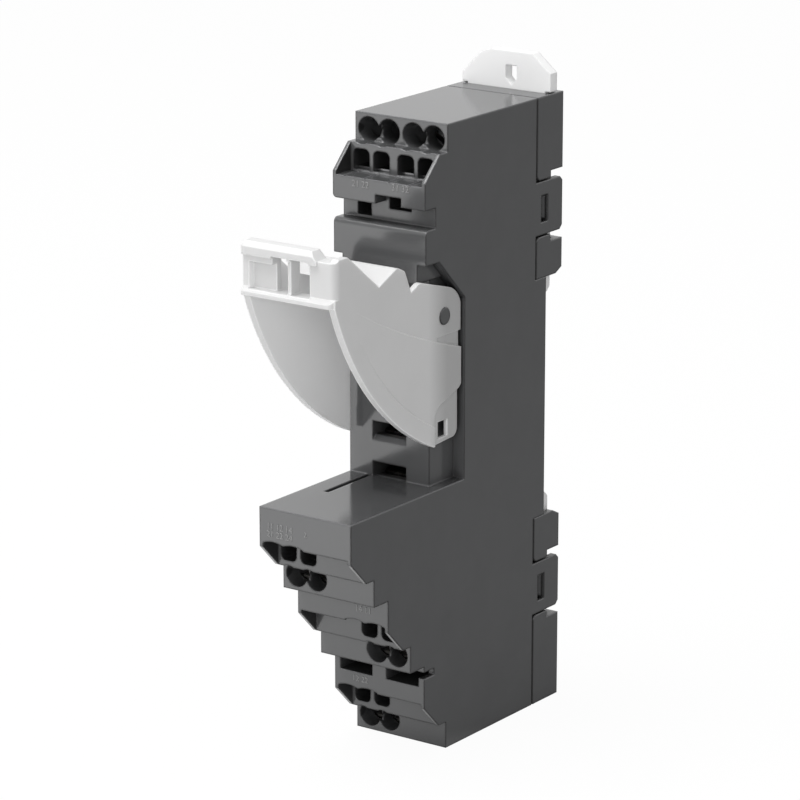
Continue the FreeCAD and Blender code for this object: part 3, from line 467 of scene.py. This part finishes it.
# Floor, light and camera
# A pale floor and white surroundings, a large soft lamp at the front right and one overhead, and a camera
# at the photograph's angle.
floor_reach = 3.0
floor_squares = 8
floor_colour = (0.55, 0.55, 0.55, 1)
floor_roughness = 0.9
floor_glow_share = 0.93
floor_glow_level = 1.03
white_light = (1, 1, 1, 1)
surround_fill = 0.43
mirror_levels = ((-0.05, 0.33), (0.0, 0.3), (0.02, 1.4), (0.125, 2.6))
mirror_heading = (-0.85, -0.53, 0.0)
lamps = {
    "front_lamp": ((0.4, -0.82, 0.22), 0.5, 2.8),
    "top_lamp": ((-0.2, -0.25, 0.8), 0.5, 6.2),
}
camera_place = (0.31078, -0.45909, 0.15366)
camera_azimuth = math.radians(35.59)
camera_elevation = math.radians(15.669)
camera_lens = 179.2
camera_sensor = 36.0


def mirror_light(tree):
    """Glow of the floor. In the glossy faces it is dim behind the part and brightens to the front left."""
    place = add_node(tree, "ShaderNodeTexCoord")
    along = add_node(tree, "ShaderNodeVectorMath", {"operation": "DOT_PRODUCT"},
                     {0: place.outputs["Object"], 1: mirror_heading})
    level = mirror_levels[0][1]
    for (start, low), (end, high) in zip(mirror_levels, mirror_levels[1:]):
        step = add_node(tree, "ShaderNodeMapRange", None,
                        {"Value": along.outputs["Value"], "From Min": start, "From Max": end,
                         "To Min": 0.0, "To Max": high - low})
        level = add_node(tree, "ShaderNodeMath", {"operation": "ADD"},
                         {0: level, 1: step.outputs["Result"]}).outputs["Value"]
    path = add_node(tree, "ShaderNodeLightPath")
    glow = add_node(tree, "ShaderNodeMix", {"data_type": "FLOAT"},
                    {"Factor": path.outputs["Is Glossy Ray"], 2: floor_glow_level, 3: level})
    return glow.outputs["Result"]


def seen_rays(tree):
    """Value that is 1 for rays from the camera, from a mirror or through glass, and 0 for others."""
    path = add_node(tree, "ShaderNodeLightPath")
    total = path.outputs["Is Camera Ray"]
    for kind in ("Is Glossy Ray", "Is Transmission Ray"):
        total = add_node(tree, "ShaderNodeMath", {"operation": "MAXIMUM"},
                         {0: total, 1: path.outputs[kind]}).outputs["Value"]
    return total


def floor_surface():
    """Flat square under the part: x and y run over the grid's two parameters, and z is constant."""
    along = np.linspace(-floor_reach, floor_reach, floor_squares + 1)
    x, y = np.meshgrid(along, along)
    height = cad_box[0][2]
    corners = np.stack([x.ravel(), y.ravel(), np.full(x.size, height)], 1)
    count = np.arange(floor_squares)
    row = floor_squares + 1
    first = (count[:, None] * row + count[None, :]).ravel()
    faces = np.stack([first, first + 1, first + row + 1, first + row], 1)
    mesh = bpy.data.meshes.new("floor")
    mesh.from_pydata(corners.tolist(), [], faces.tolist())
    return mesh


def floor_finish():
    """Pale matt floor whose own glow keeps it near white and leaves a little of the part's shadow."""
    material, tree, shader = new_finish("pale_floor")
    shader.inputs["Base Color"].default_value = floor_colour
    shader.inputs["Roughness"].default_value = floor_roughness
    shader.inputs["Specular IOR Level"].default_value = 0.0
    glow = add_node(tree, "ShaderNodeEmission", None, {"Color": white_light, "Strength": mirror_light(tree)})
    share = add_node(tree, "ShaderNodeMath", {"operation": "MULTIPLY"},
                     {0: seen_rays(tree), 1: floor_glow_share})
    mixed = add_node(tree, "ShaderNodeMixShader", None,
                     {"Fac": share.outputs["Value"], 1: shader.outputs["BSDF"], 2: glow.outputs["Emission"]})
    tree.links.new(mixed.outputs["Shader"], tree.nodes["Material Output"].inputs["Surface"])
    return material


floor = bpy.data.objects.new("floor", floor_surface())
bpy.context.scene.collection.objects.link(floor)
floor.data.materials.append(floor_finish())

world = bpy.context.scene.world or bpy.data.worlds.new("surroundings")
bpy.context.scene.world = world
world.use_nodes = True
sky = world.node_tree.nodes["Background"]
sky.inputs["Color"].default_value = white_light
sky_level = add_node(world.node_tree, "ShaderNodeMapRange", None,
                     {"Value": seen_rays(world.node_tree), "To Min": surround_fill, "To Max": 1.0})
world.node_tree.links.new(sky_level.outputs["Result"], sky.inputs["Strength"])

for lamp_name, (place, width, power) in lamps.items():
    lamp = bpy.data.lights.new(lamp_name, "AREA")
    lamp.size = width
    lamp.energy = power
    lamp_object = bpy.data.objects.new(lamp_name, lamp)
    bpy.context.scene.collection.objects.link(lamp_object)
    back = np.array(place) / np.linalg.norm(place)
    lamp_object.location = place
    lamp_object.rotation_euler = (math.acos(back[2]), 0.0, math.atan2(back[0], -back[1]))

camera = bpy.data.cameras.new("photo_view")
camera.lens = camera_lens
camera.sensor_width = camera_sensor
camera_object = bpy.data.objects.new("photo_view", camera)
camera_object.location = camera_place
camera_object.rotation_euler = (math.pi / 2 - camera_elevation, 0.0, camera_azimuth)
bpy.context.scene.collection.objects.link(camera_object)
bpy.context.scene.camera = camera_object
bpy.context.scene.view_settings.view_transform = "Standard"
